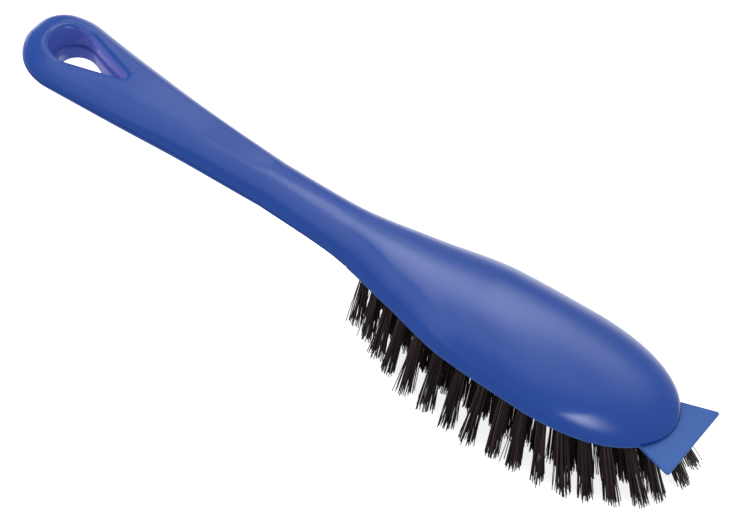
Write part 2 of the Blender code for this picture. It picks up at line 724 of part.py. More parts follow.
def main():
    for thing in list(bpy.data.objects):
        bpy.data.objects.remove(thing)
    brush = make_group("scrub_brush")
    cutters = make_group("cutters")
    royal_blue = make_material("royal_blue_gloss", (0.045, 0.085, 0.36), 0.25)
    light_blue = make_material("light_blue_matte", (0.07, 0.15, 0.41), 0.5)
    bristle = make_material("bristle_dark_brown", (0.02, 0.017, 0.016), 0.5)
    tufts = tuft_places()
    make_handle_shell(brush, cutters, royal_blue)
    make_handle_underside(brush, cutters, royal_blue)
    make_bristle_block(brush, cutters, light_blue, [tuft[1:] for tuft in tufts])
    floor = make_floor_trim(cutters)
    counts = {}
    for row, root, direction, side in tufts:
        counts[row] = counts.get(row, 0) + 1
        name = f"tuft_{row}_{counts[row]:02d}"
        ends = strand_ends((counts[row] + 1) // 2, side)
        make_tuft(name, root, direction, ends, brush, cutters, floor, bristle)
    frame = bpy.data.objects.new("brush_frame", None)
    brush.objects.link(frame)
    frame.location.x = -OVERALL_LENGTH / 2
    for thing in list(brush.objects) + list(cutters.objects):
        if thing is not frame:
            thing.parent = frame


main()
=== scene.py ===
import math
import random

import bmesh
import bpy
import numpy as np
from mathutils import Matrix, Vector


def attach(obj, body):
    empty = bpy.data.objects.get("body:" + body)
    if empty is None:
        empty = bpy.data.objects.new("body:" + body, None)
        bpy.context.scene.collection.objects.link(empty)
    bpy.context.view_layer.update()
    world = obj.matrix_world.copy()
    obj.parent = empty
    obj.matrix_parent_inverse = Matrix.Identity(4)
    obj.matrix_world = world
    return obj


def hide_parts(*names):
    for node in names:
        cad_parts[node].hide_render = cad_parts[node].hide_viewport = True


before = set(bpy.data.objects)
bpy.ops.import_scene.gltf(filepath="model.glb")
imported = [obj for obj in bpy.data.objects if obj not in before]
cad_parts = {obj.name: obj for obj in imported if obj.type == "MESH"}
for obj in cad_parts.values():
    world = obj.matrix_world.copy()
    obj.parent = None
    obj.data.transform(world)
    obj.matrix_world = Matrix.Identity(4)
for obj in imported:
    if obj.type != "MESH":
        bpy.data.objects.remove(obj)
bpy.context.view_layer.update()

# Sizes of the part in millimetres, the same as in its CAD source
MM = 0.001
HANDLE_LENGTH, HEAD_LENGTH, SCRAPER_REACH = 150, 131, 9
SHELL_LENGTH = HANDLE_LENGTH + HEAD_LENGTH
OVERALL_LENGTH = SHELL_LENGTH + SCRAPER_REACH
NECK_PLACE, FACET_END, DOME_PLACE, SEAM_LOW_PLACE = 110, 107, 200, 185
TIP_ROUND_LENGTH = 46
HEAD_WIDE_PLACE = SHELL_LENGTH - TIP_ROUND_LENGTH
EYE_WIDTH, NECK_WIDTH, HEAD_WIDTH = 35.9, 18.4, 54.2
EYE_CROWN, NECK_CROWN, DOME_CROWN = 8, 11.5, 15.3
BELLY_DEPTH, RIM_DEPTH, RIM_HEIGHT, HANDLE_LIFT = 6.6, 1.2, 28.0, 8
SHELL_WALL, EYE_WALL, GAP = 2.2, 1.8, 0.3
EYE_PLACE, EYE_RADIUS, EYE_TIP_PLACE, EYE_TIP_RADIUS, EYE_REAR_LEAN = 18, 8.5, 41.6, 1.2, 4.3
FACET_DROP, FACET_RUNOUT = 0.9, 9
DECK_HEIGHT, RIM_INSET = 6, 0.3
SCRAPER_WIDTH, SCRAPER_ROOT_WIDTH, SCRAPER_ROOT_DEPTH = 37.2, 22.4, 12
SCRAPER_ROOT_THICKNESS, SCRAPER_EDGE_THICKNESS = 1.8, 0.9
SCRAPER_CORNER_RADIUS, SCRAPER_STEP = 1, 0.15
ROW_SIDE_INSET, ROW_TIP_INSET, ROW_REAR_INSET, ROW_SPACING = 5, 9, 7.5, 9.5
INNER_ROW_OFFSET, REAR_TUFT_INSET, CENTRE_REAR_INSET, CENTRE_TIP_INSET = 4.6, 16, 42, 31
OUTER_ROW_HALF_COUNT, INNER_ROW_HALF_COUNT, CENTRE_ROW_COUNT = 16, 9, 6

# Curve shapes, also the same: powers, then pairs of place share and value share, smoothly joined
SECTION_POWER, EYE_POWER, TIP_POWER = 2.2, 2.1, 2.43
DOME_FALL_POWER, DOME_FALL_ROOT = 2.1, 0.65
HANDLE_TAPER = ((0, 0), (0.29, 0.37), (0.67, 0.82), (1, 1))
HEAD_SPREAD = ((0, 0), (0.24, 0.08), (0.48, 0.45), (0.72, 0.87), (1, 1))
HANDLE_CROWN = ((0, 0), (0.13, 0.13), (0.4, 0.6), (0.7, 0.97), (1, 1))
HEAD_CROWN = ((0, 0), (0.3, 0.08), (0.6, 0.45), (1, 1))
BELLY_FADE = ((0, 1), (0.35, 0.97), (0.53, 0.85), (0.75, 0.48), (0.92, 0.08), (1, 0))
LEAN_TAN = ((0, 0), (0.12, 0.02), (0.25, 0.08), (0.5, 0.1), (0.62, 0.14), (0.74, 0.3), (0.88, 0.41),
            (1, 0.62))
SPLAY_TAN = ((0, 0), (0.1, 0.03), (0.2, 0.22), (0.5, 0.26), (0.66, 0.2), (0.78, 0.12), (0.9, 0.03),
             (1, 0.02))
OUTER_PITCH = ((0, 0), (0.13, 0.107), (0.2, 0.172), (0.5, 0.53), (0.68, 0.7), (0.84, 0.85), (1, 1))
EVEN_PITCH = ((0, 0), (1, 1))

# Shapes finer than the CAD's, in millimetres: round the eye, at edges, and at the far front
EYE_TOP_ROUND, EYE_BELLY_ROUND = 9, 5.5
EYE_LIP_RADIUS, EYE_LIP_EXTRA, EYE_LEDGE = 1.8, 1.1, 1.1
EYE_WALL_LEAN, EYE_JOINT_TILT = 2.1, 2.0
EYE_MIDDLE, EYE_HALF_LENGTH = 25.5, 16
LIP_GROWTH_START, LIP_GROWTH_RAMP = 0.5, 1.5    # by the numbers that follow the eye's plan
FACET_BLUNT, FACET_BLUNT_EXTRA, FACET_LIFT_TAN = 0.15, 0.75, 0.1
RIM_ROUND, SCRAPER_ROUND = 0.4, 0.22
FAR_FRONT_LEAN, FAR_FRONT_SPLAY = 0.25, 0.17    # tangents that the far tufts at the front gain
FAR_FRONT_START, FAR_FRONT_RAMP = 0.8, 0.08     # shares of the head's length
FAR_SIDE_START, FAR_SIDE_RAMP = 1, 5            # millimetres off the middle

# Tufts and their filaments, in millimetres, shares, factors and radians
SEED = 20
HOLE_RADIUS, HOLE_DEPTH, HOLE_OVERRUN = 1.95, 2.5, 1.5
ROOT_RADIUS, ROOT_SINK = 1.7, 1.6
FILAMENTS, FILAMENT_RADIUS, FILAMENT_TAPER = 52, 0.2, 0.15
FILAMENT_JITTER, FILAMENT_BOW, FLARE_POWER = 0.3, 0.22, 1.2
STRAY_SHARE, STRAY_FACTOR = 0.1, 3.5
TIP_CLEARANCE, TIP_RAG, SHORT_SHARE, SHORT_MOST = 0.1, 0.75, 0.15, 2.2
LEAST_SPREAD, MOST_SPREAD, TUFT_SWAY = 1.6, 1.95, 0.4
GOLDEN_ANGLE, TURN_MOST, TWIST_MOST = 2.39996, 6.283, 1.57
# More tufts at the ends of the middle rows: place along the brush and off its middle
END_TUFTS = ((160.5, -3.6), (169.5, -5.2), (174.3, 0), (180.3, 0), (186.2, 0),
             (255.8, 0), (261, 0), (266.3, 0))

# How finely the pieces are divided
COLUMNS = 32                             # across half the body
EYE_END = 56                             # where the rays round the eye give way to straight rows
ROW_STEP, BLOCK_ROW_STEP = 1.25, 1.5     # between straight rows, in millimetres
TIP_STEPS, BLOCK_TIP_STEPS, UNDERSIDE_STEPS = 64, 48, 75
RAY_STEPS, FLANK_STEPS, REAR_STEPS = 22, 38, 36
RIM_CROWDING, CROWDING_POWER = 1.2, 6    # how much a ray's points crowd towards the rim
RIM_NEAR, RIM_FAR, RIM_HALVINGS = 5.0, 30.0, 60
LIP_STEPS, WALL_STEPS, EDGE_STEPS = 8, 4, 3
RIM_STEPS, RIM_CORNER_STEPS, DECK_STEPS = 8, 4, 12
SCRAPER_CORNER_STEPS, SCRAPER_FLANK_STEPS = 8, 10
PATH_STEPS, HOLE_SIDES, FILAMENT_STEPS = 240, 12, 5
MERGE_DISTANCE, LEAST_WIDTH = 0.002, 1e-6
SHARP_ANGLE, NO_SHARP_ANGLE = 35, 100    # degrees between faces, from which an edge is sharp

# How far each ring of the eye's wall, from lip to foot, takes the lighter inner colour: painted light that
# brightens the wall inside the eye, less of it at the rear
WALL_PAINTED_LIGHT = [0] * 4 + [0.25, 0.5, 0.75, 1, 1] + [1] * WALL_STEPS
REAR_PAINTED_LIGHT_LOSS, REAR_PAINTED_LIGHT_START, REAR_PAINTED_LIGHT_RAMP = 0.65, 1.9, 0.4

# Camera, in degrees and millimetres; the focal length is in pixels of the picture
CAMERA_AZIMUTH, CAMERA_ELEVATION, CAMERA_ROLL = 23.626, 47.084, 13.507
CAMERA_TARGET, CAMERA_DISTANCE = (7.821, 2.86, 20.825), 1334.34
FOCAL_PIXELS, PICTURE_WIDTH, SENSOR_WIDTH = 3696, 743, 36

# Light, in metres, degrees and watts
KEY_AZIMUTH, KEY_ELEVATION, KEY_DISTANCE, KEY_SIZE, KEY_ENERGY = 175, 43, 1.5, 0.8, 4.6
CARD_REACH, CARD_SEGMENTS, CARD_AIM_HEIGHT = 2.4, 2, 0.04
# Reflector cards: name, azimuth, elevation, distance, width, height, turn, level, edge, crisp top
CARDS = (
    ("card_far", 92.4, 58.6, 0.250, 0.1066, 0.0646, 1.29, 3.20, 1),
    ("card_neck", 148.2, 67.7, 0.250, 0.1400, 0.0175, 0.43, 2.25, 2),
    ("card_rear", -120.0, 34.4, 0.250, 0.2292, 0.0570, -1.27, 0.80, 1),
    ("card_front", -42.3, 45.1, 0.250, 0.0730, 0.0470, 0.61, 6.70, 1, 0.154),
    ("card_high", 131.8, 51.9, 0.760, 0.0774, 0.5344, -0.53, 1.37, 1),
    ("card_top", -155.6, 78.6, 3.000, 2.8792, 0.5577, -0.86, 0.75, 1),
)
# Broad lobes in the reflected surroundings: azimuth, elevation, narrowness, level
WORLD_LOBES = ((79.1, 10.5, 51.2, 0.31), (90.9, 45.3, 58.4, 1.42), (98.0, -8.0, 30.0, 1.30))
WORLD_REFLECTED, WORLD_LIGHT = 0.56, 0.8
FLOOR_SIZE, FLOOR_SEGMENTS, FLOOR_DROP = 6, 8, 0.0002
FLOOR_GLOW, FLOOR_REFLECTED = 0.78, 0.6
FLOOR_FAR_GLOW, FLOOR_FAR_START, FLOOR_FAR_END = 1.1, -0.02, 0.06


def blend(pairs, t):
    """Smooth monotone curve through pairs of shares, for an array of t."""
    xs, ys = np.array(pairs, float).T
    t = np.clip(t, xs[0], xs[-1])
    width = np.diff(xs)
    rise = np.diff(ys) / width
    weight_a = 2 * width[1:] + width[:-1]
    weight_b = width[1:] + 2 * width[:-1]
    mean = (weight_a + weight_b) / (weight_a / rise[:-1] + weight_b / rise[1:])
    inner = np.where(rise[:-1] * rise[1:] > 0, mean, 0)
    slopes = np.concatenate(([rise[0]], inner, [rise[-1]]))
    k = np.clip(np.searchsorted(xs, t) - 1, 0, len(width) - 1)
    u = (t - xs[k]) / width[k]
    return (ys[k] * (1 + 2 * u) * (1 - u) ** 2 + ys[k + 1] * u * u * (3 - 2 * u)
            + width[k] * slopes[k] * u * (1 - u) ** 2 - width[k] * slopes[k + 1] * u * u * (1 - u))


def share(value):
    return np.clip(value, 0, 1)


def seam_height(x):
    """Height of the curved seam at which the mouldings meet."""
    return RIM_HEIGHT + HANDLE_LIFT * ((x - SEAM_LOW_PLACE) / SEAM_LOW_PLACE) ** 2


def half_width(x, inset=0, tip_inset=None):
    """Half the body's width at x, inside its outline by the inset."""
    tip_inset = inset if tip_inset is None else tip_inset
    x = np.asarray(x, float)
    eye = EYE_WIDTH / 2
    handle = eye + (NECK_WIDTH / 2 - eye) * blend(HANDLE_TAPER, (x - eye) / (NECK_PLACE - eye))
    spread = blend(HEAD_SPREAD, (x - NECK_PLACE) / (HEAD_WIDE_PLACE - NECK_PLACE))
    head = (NECK_WIDTH + (HEAD_WIDTH - NECK_WIDTH) * spread) / 2
    base = np.where(x < NECK_PLACE, handle, head)
    rear = 1 - share((x - inset) / (eye - inset))
    front = share((x - HEAD_WIDE_PLACE) / (TIP_ROUND_LENGTH - tip_inset))
    return (base - inset) * (1 - rear ** EYE_POWER) ** (1 / EYE_POWER) * (1 - front ** TIP_POWER) ** 0.5


def eye_edge(x, inset, radius):
    """Share of the full height at x, where the handle's end is rounded."""
    return (1 - (1 - share((x - inset) / (radius - inset))) ** 2) ** 0.5


def crown(x, inset=0):
    """Height of the top above the seam along the middle."""
    eye = EYE_WIDTH / 2
    handle = EYE_CROWN + (NECK_CROWN - EYE_CROWN) * blend(HANDLE_CROWN, (x - eye) / (NECK_PLACE - eye))
    rise = blend(HEAD_CROWN, (x - NECK_PLACE) / (DOME_PLACE - NECK_PLACE))
    head = NECK_CROWN + (DOME_CROWN - NECK_CROWN) * rise
    forward = share((x - DOME_PLACE) / (SHELL_LENGTH - inset - DOME_PLACE))
    height = np.where(x < NECK_PLACE, handle, head)
    fall = (1 - forward ** DOME_FALL_POWER) ** DOME_FALL_ROOT
    return (height - inset) * fall * eye_edge(x, inset, EYE_TOP_ROUND)


def belly(x):
    """Depth of the underside below the seam along the middle."""
    depth = RIM_DEPTH + (BELLY_DEPTH - RIM_DEPTH) * blend(BELLY_FADE, x / HANDLE_LENGTH)
    return depth * eye_edge(x, 0, EYE_BELLY_ROUND)


def section_share(across):
    """Share of the middle's height at a share of the half width."""
    return (1 - share(np.abs(across)) ** SECTION_POWER) ** (1 / SECTION_POWER)


def across_share(x, y, inset):
    """How far y lies from the middle to the side, as a share of the half width."""
    return y / np.maximum(half_width(x, inset), LEAST_WIDTH)


def soft_min(a, b, blunt):
    """The smaller of two heights, the edge between them a little rounded."""
    return (a + b - np.sqrt((a - b) ** 2 + blunt ** 2)) / 2


def shell_top(x, y):
    """Outer top surface, with the thumb facet along the handle."""
    rise = crown(x) * section_share(across_share(x, y, 0))
    runout = 1 - np.exp(-np.maximum(FACET_END - x, 0) / FACET_RUNOUT)
    end = eye_edge(x, 0, EYE_TOP_ROUND)
    facet = crown(x) - FACET_DROP * runout * end + FACET_LIFT_TAN * np.maximum(x - FACET_END, 0)
    blunt = (FACET_BLUNT + FACET_BLUNT_EXTRA * runout) * end
    return seam_height(x) + np.maximum(soft_min(rise, facet, blunt), 0)


def shell_inside(x, y):
    """Inner top surface, a wall's thickness below the outer one."""
    return seam_height(x) + crown(x, SHELL_WALL) * section_share(across_share(x, y, SHELL_WALL))


def belly_bottom(x, y):
    """Outer lower surface of the underside moulding."""
    rise = np.maximum(belly(x) - GAP, 0) * section_share(across_share(x, y, 0))
    return seam_height(x) - GAP - rise


def eye_joint(x, y):
    """Height of the joint between the two mouldings round the eye: it rises from rear to tip."""
    return seam_height(x) + EYE_JOINT_TILT * np.clip((x - EYE_MIDDLE) / EYE_HALF_LENGTH, -1, 1)


class Eye:
    """Half plan of the teardrop eye, followed by one number: 0 tip, 1 to 2 flank, 3 rear."""

    def __init__(self, offset=0.0, shift=0.0, tip_shift=0.0):
        self.radius, self.tip_radius = EYE_RADIUS + offset, EYE_TIP_RADIUS + offset
        self.centre = EYE_PLACE + shift
        self.tip_centre = EYE_TIP_PLACE - EYE_TIP_RADIUS + tip_shift
        slope = (EYE_RADIUS - EYE_TIP_RADIUS) / (self.tip_centre - self.centre)
        self.side = math.pi / 2 - math.asin(slope)

    def point(self, q):
        tip = self.side * np.clip(q, 0, 1)
        back = self.side + (math.pi - self.side) * np.clip(q - 2, 0, 1)
        along = np.clip(q - 1, 0, 1)
        tip_x = self.tip_centre + self.tip_radius * np.cos(tip)
        tip_y = self.tip_radius * np.sin(tip)
        back_x = self.centre + self.radius * np.cos(back)
        back_y = self.radius * np.sin(back)
        return tip_x + (back_x - tip_x) * along, tip_y + (back_y - tip_y) * along

    def nearest(self, x, y):
        """The number of the point that faces (x, y), for y at or above zero."""
        at_tip = np.arctan2(y, x - self.tip_centre)
        at_back = np.arctan2(y, x - self.centre)
        normal = np.array([math.cos(self.side), math.sin(self.side)])
        low = np.array([self.tip_centre, 0]) + self.tip_radius * normal
        line = np.array([self.centre, 0]) + self.radius * normal - low
        along = ((x - low[0]) * line[0] + (y - low[1]) * line[1]) / (line @ line)
        flank = 1 + share(along)
        rear = 2 + share((at_back - self.side) / (math.pi - self.side))
        return np.where(at_tip <= self.side, at_tip / self.side, np.where(at_back >= self.side, rear, flank))


def column_shares():
    """Shares of the half width from -1 to 1, crowded so that the steep sides stay smooth."""
    angle = math.pi * np.arange(2 * COLUMNS + 1) / (2 * COLUMNS)
    side = np.cos(angle)
    return np.sign(-side) * np.abs(side) ** (2 / SECTION_POWER)


def rim_points(inset):
    """Where rays from the eye end, on the +Y half: the first row's columns, the flank, the rear."""
    columns = column_shares()[COLUMNS:]
    row_y = columns * half_width(EYE_END, inset)
    flank_x = np.linspace(EYE_END, EYE_PLACE, FLANK_STEPS + 1)[1:]
    angles = np.linspace(math.pi / 2, math.pi, REAR_STEPS + 1)[1:]
    low, high = np.full(len(angles), RIM_NEAR), np.full(len(angles), RIM_FAR)
    for _ in range(RIM_HALVINGS):
        middle = (low + high) / 2
        outside = middle * np.sin(angles) > half_width(EYE_PLACE + middle * np.cos(angles), inset)
        low, high = np.where(outside, low, middle), np.where(outside, middle, high)
    rear_x, rear_y = EYE_PLACE + low * np.cos(angles), low * np.sin(angles)
    x = np.concatenate([np.full(len(row_y), float(EYE_END)), flank_x, rear_x])
    y = np.concatenate([row_y, half_width(flank_x, inset), rear_y])
    x[-1], y[-1] = inset, 0
    round_eye = np.full(len(flank_x) + len(rear_x), 1 + RIM_CROWDING)
    crowding = np.concatenate([1 + RIM_CROWDING * columns ** CROWDING_POWER, round_eye])
    return x, y, crowding


def both_sides(values, sign=1):
    """A closed loop from values on the +Y half: there, then back along the other side."""
    return np.concatenate([values, sign * values[-2:0:-1]])


def eye_rays(eye, q, inset, surface):
    """Rings of points from the eye's edge, at numbers q, to the rim, all on the surface."""
    rim_x, rim_y, crowding = rim_points(inset)
    start_x, start_y = eye.point(q)
    rings = []
    for t in np.linspace(0, 1, RAY_STEPS + 1):
        along = 1 - (1 - t) ** crowding
        x = both_sides(start_x + (rim_x - start_x) * along)
        y = both_sides(start_y + (rim_y - start_y) * along, -1)
        rings.append(np.stack([x, y, surface(x, y)], -1))
    return rings


def body_rows(places, inset, surface):
    """Rows of points across the body at places along it, all on the surface."""
    columns = column_shares()
    rows = []
    for x in places:
        y = columns * half_width(x, inset)
        place = np.full(len(y), float(x))
        rows.append(np.stack([place, y, surface(place, y)], -1))
    return rows


def eye_ring(eye, q, height):
    """A ring of the eye's wall at numbers q."""
    x, y = eye.point(q)
    x, y = both_sides(x), both_sides(y, -1)
    return np.stack([x, y, height(x, y)], -1)


class Net:
    """Points and faces gathered for one mesh, in millimetres along the brush."""

    def __init__(self):
        self.points, self.faces, self.tones, self.count = [], [], [], 0

    # Each point carries a number: a filament's random tone, or how much painted light the eye's wall takes.
    def row(self, points, tone=0.0):
        start = self.count
        self.points.append(np.asarray(points, float))
        self.tones.append(np.full(len(points), tone))
        self.count += len(points)
        return np.arange(start, self.count)

    def skin(self, rows, closed=False, tones=None):
        """Quads between neighbouring rows of equal length. Returns the rows' numbers."""
        numbers = [self.row(points, tones[k] if tones else 0) for k, points in enumerate(rows)]
        for low, high in zip(numbers, numbers[1:]):
            self.strip(low, high, closed)
        return numbers

    def strip(self, low, high, closed=False):
        last = len(low) if closed else len(low) - 1
        for k in range(last):
            after = (k + 1) % len(low)
            self.faces.append((low[k], low[after], high[after], high[k]))

    def object(self, name, material, sharp=SHARP_ANGLE, merge=True):
        """The mesh as an object, its coincident points merged where that is asked for."""
        mesh = bpy.data.meshes.new(name)
        points = np.concatenate(self.points) - (OVERALL_LENGTH / 2, 0, 0)
        mesh.from_pydata((points * MM).tolist(), [], [tuple(int(i) for i in f) for f in self.faces])
        # The numbers go on as a point attribute: filament tone, or painted light on the eye's wall.
        tone = mesh.attributes.new("tone", "FLOAT", "POINT")
        tone.data.foreach_set("value", np.concatenate(self.tones).astype(np.float32))
        if merge:
            bm = bmesh.new()
            bm.from_mesh(mesh)
            bmesh.ops.remove_doubles(bm, verts=bm.verts[:], dist=MERGE_DISTANCE * MM)
            bmesh.ops.recalc_face_normals(bm, faces=bm.faces[:])
            bm.to_mesh(mesh)
            bm.free()
        mesh.shade_smooth()
        mesh.set_sharp_from_angle(angle=math.radians(sharp))
        mesh.materials.append(material)
        piece = bpy.data.objects.new(name, mesh)
        bpy.context.scene.collection.objects.link(piece)
        return piece


def crowded_end(start, end, count):
    """Places from start to end, closer together towards the end."""
    return start + (end - start) * np.sin(np.pi * np.arange(count + 1) / count / 2)


def quarter_round(steps):
    """Shares of a radius, out and down, round a quarter circle."""
    angles = [math.pi / 2 * k / steps for k in range(steps + 1)]
    return [(1 - math.sin(angle), 1 - math.cos(angle)) for angle in angles]


def wall_tones(q):
    """How much painted light each ring of the eye's wall takes at numbers q: the flanks are painted the
    lightest.
    """
    around = 1 - REAR_PAINTED_LIGHT_LOSS * both_sides(share((q - REAR_PAINTED_LIGHT_START) / REAR_PAINTED_LIGHT_RAMP))
    return [level * around for level in WALL_PAINTED_LIGHT]


def lip_radius(q):
    """The upper lip's radius at numbers q: it broadens from the tip to the rear of the eye."""
    return EYE_LIP_RADIUS + EYE_LIP_EXTRA * share((q - LIP_GROWTH_START) / LIP_GROWTH_RAMP)


def lip_rings(lip, offsets, q, surface, way):
    """Rings round an eye's lip, from the surface down (way -1) or up (way 1) to its wall."""
    offset, shift, tip_shift = offsets
    rings = []
    for wide, deep in quarter_round(LIP_STEPS):
        ring = eye_ring(Eye(lip * wide + offset, shift, tip_shift), q, surface)
        ring[:, 2] += way * both_sides(lip) * deep
        rings.append(ring)
    return rings


def straight_wall(start, end):
    """Rings from one ring to another, the first left out."""
    return [start + (end - start) * (k / WALL_STEPS) for k in range(1, WALL_STEPS + 1)]


def make_shell(material):
    """The top moulding with its rounded eye lip, thumb facet and dome, hollow inside."""
    net = Net()
    straight = np.arange(EYE_END, HEAD_WIDE_PLACE, ROW_STEP)
    outer_places = crowded_end(HEAD_WIDE_PLACE, SHELL_LENGTH, TIP_STEPS)
    inner_places = crowded_end(HEAD_WIDE_PLACE, SHELL_LENGTH - SHELL_WALL, TIP_STEPS)
    rim_x, rim_y, _ = rim_points(0)
    q = Eye(EYE_LIP_RADIUS).nearest(rim_x, rim_y)
    lip = lip_radius(q)
    outer = eye_rays(Eye(lip), q, 0, shell_top)
    net.skin(outer, closed=True)
    outer_rows = body_rows(np.concatenate([straight, outer_places]), 0, shell_top)
    net.skin(outer_rows)
    wall = lip_rings(lip, (0, 0, 0), q, shell_top, -1)
    foot = eye_ring(Eye(0, EYE_WALL_LEAN), q, eye_joint)
    # The eye's wall takes painted light: its deeper rings get a lighter blue.
    net.skin(wall + straight_wall(wall[-1], foot), closed=True, tones=wall_tones(q))
    inner = eye_rays(Eye(EYE_WALL), q, SHELL_WALL, shell_inside)
    pillar = eye_ring(Eye(EYE_WALL), q, eye_joint)
    net.skin([foot, pillar] + inner, closed=True, tones=wall_tones(q)[-1:] + [0] * (len(inner) + 1))
    inner_rows = body_rows(np.concatenate([straight, inner_places]), SHELL_WALL, shell_inside)
    net.skin(inner_rows)
    net.skin([outer[-1][COLUMNS:-COLUMNS + 1], inner[-1][COLUMNS:-COLUMNS + 1]])
    for side in (0, -1):
        net.skin([[row[side] for row in outer_rows], [row[side] for row in inner_rows]])
    return net.object("top_moulding", material)


def lid(x, y):
    """Height of the flat top of the underside moulding."""
    return seam_height(x) - GAP


def collar_top(x, y):
    """Height of the underside moulding's collar, which meets the upper wall round the eye."""
    return eye_joint(x, y) - GAP


def make_underside(material):
    """The lower moulding that closes the handle, with the eye's lower lip."""
    net = Net()
    places = np.linspace(EYE_END, HANDLE_LENGTH, UNDERSIDE_STEPS + 1)
    edge = Eye(EYE_LIP_RADIUS - EYE_LEDGE, EYE_REAR_LEAN, EYE_LEDGE)
    rim_x, rim_y, _ = rim_points(0)
    q = edge.nearest(rim_x, rim_y)
    net.skin(eye_rays(edge, q, 0, belly_bottom), closed=True)
    rows = body_rows(places, 0, belly_bottom)
    net.skin(rows)
    lip = np.full(len(q), EYE_LIP_RADIUS)
    wall = lip_rings(lip, (-EYE_LEDGE, EYE_REAR_LEAN, EYE_LEDGE), q, belly_bottom, 1)
    mouth = eye_ring(Eye(-EYE_LEDGE, EYE_WALL_LEAN + EYE_LEDGE, -EYE_LEDGE), q, collar_top)
    # The lower wall of the eye takes painted light too: its deeper rings get a lighter blue.
    net.skin(wall + straight_wall(wall[-1], mouth), closed=True, tones=wall_tones(q))
    collar = eye_ring(Eye(EYE_WALL + GAP), q, collar_top)
    root = eye_ring(Eye(EYE_WALL + GAP), q, lid)
    rim_x, rim_y = both_sides(rim_x), both_sides(rim_y, -1)
    flat = np.column_stack([rim_x, rim_y, lid(rim_x, rim_y)])
    net.skin([mouth, collar, root, flat], closed=True, tones=wall_tones(q)[-1:] + [0, 0, 0])
    lid_rows = body_rows(places, 0, lid)
    net.skin(lid_rows)
    net.skin([rows[-1], lid_rows[-1]])
    return net.object("handle_closure", material)


def block_section(x):
    """Section of the block: rim plate with rounded lower edges, and the deck that fills the shell."""
    width = float(half_width(x, RIM_INSET))
    low, top = seam_height(x) - RIM_DEPTH, seam_height(x) - GAP
    blunt = min(RIM_ROUND, width / 2)
    half = [(width * k / RIM_STEPS, low) for k in range(RIM_STEPS)]
    half[-1] = (width - blunt, low)
    for k in range(1, RIM_CORNER_STEPS + 1):
        angle = math.pi / 2 * k / RIM_CORNER_STEPS
        half.append((width - blunt + blunt * math.sin(angle), low + RIM_ROUND * (1 - math.cos(angle))))
    half.append((width, top))
    deck = SHELL_WALL + GAP
    deck_width = float(half_width(x, deck))
    for k in range(DECK_STEPS + 1):
        angle = math.pi / 2 * k / DECK_STEPS
        y = deck_width * math.cos(angle) ** (2 / SECTION_POWER)
        height = float(crown(x, deck)) * math.sin(angle) ** (2 / SECTION_POWER)
        half.append((y, max(seam_height(x) + min(height, DECK_HEIGHT), top)))
    full = half + [(-y, z) for y, z in reversed(half[1:-1])]
    return np.array([(x, y, z) for y, z in full])


def scraper_top(x):
    """Height of the scraper's flat top, parallel to the seam at the tip."""
    slope = 2 * HANDLE_LIFT * (SHELL_LENGTH - SEAM_LOW_PLACE) / SEAM_LOW_PLACE ** 2
    return seam_height(SHELL_LENGTH) - GAP - SCRAPER_STEP + slope * (x - SHELL_LENGTH)


def scraper_thickness(x):
    """Thickness of the scraper, thinner towards its edge."""
    back = (OVERALL_LENGTH - x) / (SCRAPER_REACH + SCRAPER_ROOT_DEPTH)
    return SCRAPER_EDGE_THICKNESS + (SCRAPER_ROOT_THICKNESS - SCRAPER_EDGE_THICKNESS) * back


def scraper_outline(inset):
    """Plan of the scraper inside its edge by the inset, with rounded front corners."""
    root = SHELL_LENGTH - SCRAPER_ROOT_DEPTH + inset
    flank = math.atan2((SCRAPER_WIDTH - SCRAPER_ROOT_WIDTH) / 2, SCRAPER_REACH + SCRAPER_ROOT_DEPTH)
    radius = SCRAPER_CORNER_RADIUS
    reach = radius / math.tan((math.pi / 2 - flank) / 2)
    centre = (OVERALL_LENGTH - radius, SCRAPER_WIDTH / 2 - reach)
    side = SCRAPER_ROOT_WIDTH / 2 + inset * (math.tan(flank) - 1 / math.cos(flank))
    corner = []
    for k in range(SCRAPER_CORNER_STEPS + 1):
        angle = (math.pi / 2 + flank) * (1 - k / SCRAPER_CORNER_STEPS)
        corner.append((centre[0] + (radius - inset) * math.cos(angle),
                       centre[1] + (radius - inset) * math.sin(angle)))
    steps = [k / SCRAPER_FLANK_STEPS for k in range(SCRAPER_FLANK_STEPS)]
    half = [(root + (corner[0][0] - root) * s, side + (corner[0][1] - side) * s) for s in steps] + corner
    return np.array(half + [(x, -y) for x, y in reversed(half)])


def make_scraper_body():
    """The scraper lip, its edges a little rounded over."""
    net = Net()
    rings = []
    for wide, deep in quarter_round(EDGE_STEPS):
        plan = scraper_outline(SCRAPER_ROUND * wide)
        rings.append(np.column_stack([plan, scraper_top(plan[:, 0]) - SCRAPER_ROUND * deep]))
    for wide, deep in reversed(quarter_round(EDGE_STEPS)):
        plan = scraper_outline(SCRAPER_ROUND * wide)
        floor = scraper_top(plan[:, 0]) - scraper_thickness(plan[:, 0])
        rings.append(np.column_stack([plan, floor + SCRAPER_ROUND * deep]))
    numbers = net.skin(rings, closed=True)
    for ring in (numbers[0], numbers[-1]):
        half = len(ring) // 2
        for k in range(half - 1):
            net.faces.append((ring[k], ring[k + 1], ring[-2 - k], ring[-1 - k]))
    return net


def join_solids(piece, other, operation):
    """Unite or cut two closed pieces and keep the result as the first one's mesh."""
    step = piece.modifiers.new("step", "BOOLEAN")
    step.operation = operation
    step.object = other
    step.solver = "EXACT"
    ready = piece.evaluated_get(bpy.context.evaluated_depsgraph_get())
    mesh = bpy.data.meshes.new_from_object(ready)
    mesh.name = piece.name
    piece.modifiers.clear()
    piece.data = mesh
    bpy.data.objects.remove(other)
    mesh.shade_smooth()
    mesh.set_sharp_from_angle(angle=math.radians(SHARP_ANGLE))


def cross_axes(direction):
    """Two unit vectors square to a tuft's direction: one along the brush, one across it."""
    across = np.cross(direction, (1, 0, 0))
    across /= np.linalg.norm(across)
    return np.cross(across, direction), across


